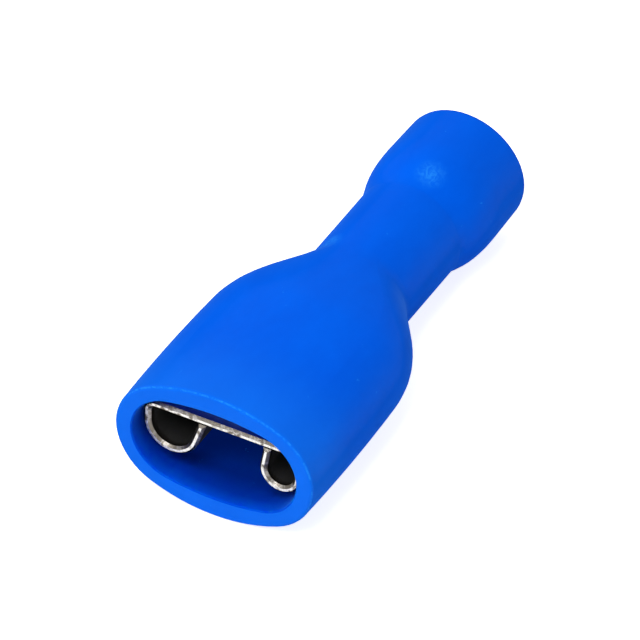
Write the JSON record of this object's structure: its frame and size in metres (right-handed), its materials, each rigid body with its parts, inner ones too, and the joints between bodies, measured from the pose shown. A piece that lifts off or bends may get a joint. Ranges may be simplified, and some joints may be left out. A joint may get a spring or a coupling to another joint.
{
  "type": "female spade terminal",
  "caption": "Push-on female spade terminal for a 6.3 mm tab, with a soft moulded sleeve: oval mouth, sloping shoulders, round neck and a flared wire bell.",
  "frame": {"origin": "centre of the oval mouth's front plane, on the axis of the round neck", "axes": "+Y from the mouth towards the wire end, along the neck's axis; +X across the width of the mouth; +Z towards the flat base of the metal receptacle"},
  "size_m": [0.0096, 0.0221, 0.0064],
  "materials": {
    "housing": "satin",
    "terminal": "tin plated, satin"
  },
  "bodies": {
    "root": {"housing": "housing", "terminal": "terminal"}
  },
  "joints": []
}
